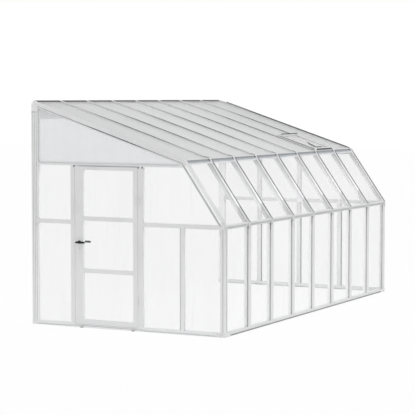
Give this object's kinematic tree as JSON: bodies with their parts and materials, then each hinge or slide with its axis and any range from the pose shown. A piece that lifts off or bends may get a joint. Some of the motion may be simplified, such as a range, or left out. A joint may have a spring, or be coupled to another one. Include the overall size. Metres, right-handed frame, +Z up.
{
  "type": "lean-to sunroom",
  "caption": "White lean-to sunroom with a twin-wall roof, sloped front glazing, a hinged door with a lever lock in one gable and a propped roof vent",
  "frame": {"origin": "on the floor, midway between the two gables and midway between the front wall and the house wall; the centre of the gable rails' anchor holes", "axes": "+X along the house wall away from the door gable, +Y toward the house wall, +Z up"},
  "size_m": [5.062, 2.574, 2.667],
  "materials": {
    "frame_white": "satin white resin profile",
    "knee_plastic": "moulded white plastic",
    "clear_pane": "clear pane",
    "twin_wall": "translucent twin-wall sheet",
    "dark_rubber": "dark grey seal",
    "black_plastic": "satin black",
    "steel": "zinc grey"
  },
  "bodies": {
    "frame": {"base_rail_front": "frame_white", "base_rail_door_end": "frame_white", "base_rail_far_end": "frame_white", "base_feet": "frame_white", "threshold_lugs": "black_plastic", "corner_posts": "frame_white", "front_posts": "frame_white", "waist_rail_front": "frame_white", "end_slope_bars": "frame_white", "slope_bars": "frame_white", "eave_rail": "frame_white", "end_rafters": "frame_white", "rafters": "frame_white", "lower_knees": "knee_plastic", "upper_knees": "knee_plastic", "wall_beam": "frame_white", "wall_posts": "frame_white", "wall_caps": "knee_plastic", "ridge_seal": "dark_rubber", "eave_seal": "dark_rubber", "jamb_lock_side": "frame_white", "jamb_hinge_side": "frame_white", "gable_studs": "frame_white", "gable_waist_rails": "frame_white", "head_rails": "frame_white", "front_panes": "clear_pane", "slope_panes": "clear_pane", "roof_panels": "twin_wall", "panes_door_end": "clear_pane", "panes_far_end": "clear_pane", "gable_panels": "twin_wall", "door_seal": "dark_rubber", "hinge_frame_leaves": "frame_white", "hinge_pins": "steel", "strike_plate": "steel", "vent_curb_ends": "frame_white", "vent_curb_sides": "frame_white", "vent_hinge_blocks": "frame_white", "vent_hinge_rod": "steel", "vent_peg": "black_plastic"},
    "door": {"door_lock_stile": "frame_white", "door_hinge_stile": "frame_white", "door_rails": "frame_white", "door_panes": "clear_pane", "hinge_door_leaves": "frame_white", "lock_case": "steel", "lock_cylinder": "steel", "lever_roses": "black_plastic"},
    "lever": {"lever_outside": "black_plastic", "lever_inside": "black_plastic", "lever_spindle": "steel"},
    "latch": {"latch_bolt": "steel"},
    "dead_bolt_body": {"dead_bolt": "steel"},
    "key": {"key_plug": "steel"},
    "vent": {"vent_sash_bottom": "frame_white", "vent_sash_sides": "frame_white", "vent_sash_top": "frame_white", "vent_panel": "twin_wall", "vent_stay_clips": "black_plastic"},
    "stay": {"vent_stay": "black_plastic"}
  },
  "joints": [
    {"name": "door_swing", "type": "hinge", "parent": "frame", "child": "door", "pos_m": [-2.508, -0.1645, 0.9275], "axis": [0, 0, 1], "range_deg": [0, 110]},
    {"name": "lever_turn", "type": "hinge", "parent": "door", "child": "lever", "pos_m": [-2.479, 0.624, 1.007], "axis": [1, 0, 0], "range_deg": [0, 45], "stiffness_Nm_per_rad": 1.2, "springref_deg": -11.46},
    {"name": "latch_slide", "type": "slide", "parent": "door", "child": "latch", "axis": [0, -1, 0], "range_m": [0, 0.01]},
    {"name": "key_turn", "type": "hinge", "parent": "door", "child": "key", "pos_m": [-2.479, 0.624, 0.927], "axis": [1, 0, 0], "range_deg": [0, 360]},
    {"name": "dead_bolt_slide", "type": "slide", "parent": "door", "child": "dead_bolt_body", "axis": [0, 1, 0], "range_m": [0, 0.014]},
    {"name": "vent_lift", "type": "hinge", "parent": "frame", "child": "vent", "pos_m": [1.54438, -0.20005, 2.19096], "axis": [-1, 0, 0], "range_deg": [0, 18.13]},
    {"name": "stay_turn", "type": "hinge", "parent": "vent", "child": "stay", "pos_m": [1.6, -0.64498, 2.03625], "axis": [-1, 0, 0], "range_deg": [0, 87]}
  ],
  "couplings": [
    {"joint": "latch_slide", "follows": "lever_turn", "m_per_rad": 0.0125},
    {"joint": "dead_bolt_slide", "follows": "key_turn", "m_per_rad": 0.0022},
    {"joint": "stay_turn", "follows": "vent_lift", "ratio": 4.78}
  ]
}
